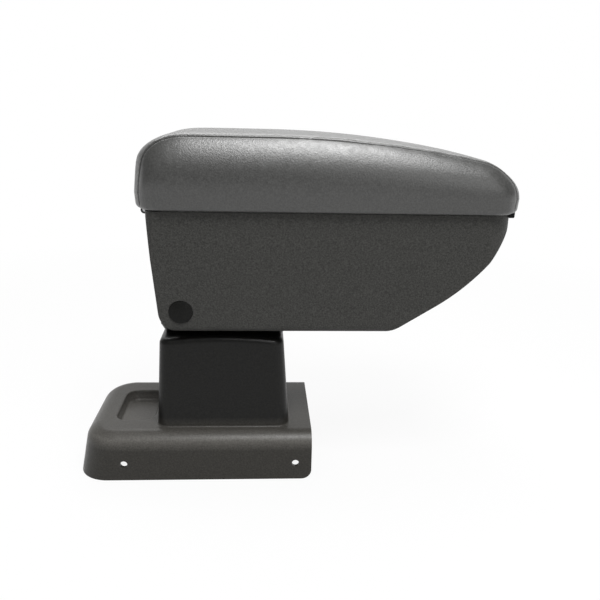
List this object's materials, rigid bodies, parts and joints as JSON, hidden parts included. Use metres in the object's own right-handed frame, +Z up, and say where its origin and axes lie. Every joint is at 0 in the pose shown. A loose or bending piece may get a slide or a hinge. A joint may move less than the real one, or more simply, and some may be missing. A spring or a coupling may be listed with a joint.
{
  "type": "car centre armrest",
  "caption": "Car centre armrest: padded leatherette lid hinged on a storage box that tilts on a pedestal, moulded in one piece with a console saddle and tray.",
  "frame": {"origin": "under the middle of the whole part, level with the saddle's bottom rim", "axes": "+X towards the front of the car, +Y to the far side, +Z up"},
  "size_m": [0.3658, 0.126, 0.2868],
  "materials": {
    "adapter_plastic": "satin",
    "seat_plastic": "matte",
    "box_plastic": "matte",
    "bush_plastic": "matte",
    "cap_plastic": "satin",
    "pan_plastic": "matte",
    "liner_plastic": "matte",
    "lip_plastic": "satin",
    "rubber": "matte",
    "leatherette": "satin",
    "foam": "matte",
    "bracket_steel": "satin",
    "fastener_steel": "satin",
    "pin_steel": "satin"
  },
  "bodies": {
    "base": {"console_adapter": "adapter_plastic", "hinge_seat": "seat_plastic", "hinge_bracket": "bracket_steel", "backing_plate": "bracket_steel", "bracket_bolts": "fastener_steel", "bracket_washers": "fastener_steel", "bracket_nuts": "fastener_steel", "pivot_pin": "pin_steel", "pivot_spring_washers": "fastener_steel", "rest_bumpers": "rubber"},
    "armrest": {"storage_box": "box_plastic", "pivot_bushes": "bush_plastic", "pivot_cap_near": "cap_plastic", "pivot_cap_far": "cap_plastic", "lid_hinge_pin": "pin_steel", "compartment_mat": "rubber"},
    "lid": {"lid_pan": "pan_plastic", "lid_liner": "liner_plastic", "liner_screws": "fastener_steel", "lid_foam": "foam", "lid_top_cover": "leatherette", "lid_side_cover_near": "leatherette", "lid_side_cover_far": "leatherette", "lid_bumpers": "rubber", "finger_lip": "lip_plastic", "finger_lip_screws": "fastener_steel"}
  },
  "joints": [
    {"name": "armrest_tilt", "type": "hinge", "parent": "base", "child": "armrest", "pos_m": [-0.0924, 0, 0.1464], "axis": [0, -1, 0], "range_deg": [0, 85]},
    {"name": "lid_hinge", "type": "hinge", "parent": "armrest", "child": "lid", "pos_m": [-0.1214, 0, 0.2248], "axis": [0, -1, 0], "range_deg": [0, 90]}
  ]
}
